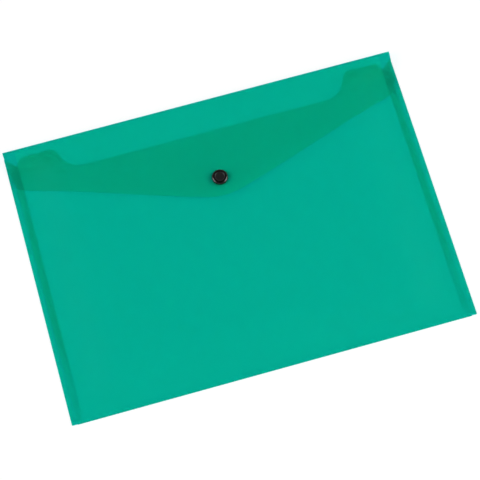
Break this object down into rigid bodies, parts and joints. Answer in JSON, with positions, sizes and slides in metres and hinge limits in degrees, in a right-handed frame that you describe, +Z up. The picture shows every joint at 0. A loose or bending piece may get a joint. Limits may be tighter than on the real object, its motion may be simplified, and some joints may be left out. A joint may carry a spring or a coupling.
{
  "type": "document wallet",
  "caption": "Flat translucent plastic document wallet: folded and welded pocket for A4 papers, with a pointed flap closed by a press stud.",
  "frame": {"origin": "centre of the wallet's outline on the table that its back panel lies on", "axes": "+X across the wallet, +Y towards the fold that the flap turns on, +Z up from the back panel towards the flap and stud"},
  "size_m": [0.335, 0.24, 0.0104],
  "materials": {
    "film": "translucent green polypropylene sheet with a fine frosted surface",
    "stud_plastic": "glossy black moulded plastic"
  },
  "bodies": {
    "pocket": {"back_panel": "film", "front_panel": "film", "left_side_tab": "film", "right_side_tab": "film", "bottom_fold": "film", "flap_fold": "film", "snap_stud": "stud_plastic", "snap_backing": "stud_plastic"},
    "flap": {"flap_panel": "film", "snap_cap": "stud_plastic", "snap_socket": "stud_plastic"}
  },
  "joints": [
    {"name": "flap_hinge", "type": "hinge", "parent": "pocket", "child": "flap", "pos_m": [0, 0.1173, 0.0027], "axis": [-1, 0, 0], "range_deg": [0, 175], "deforming": ["flap_fold"]}
  ]
}
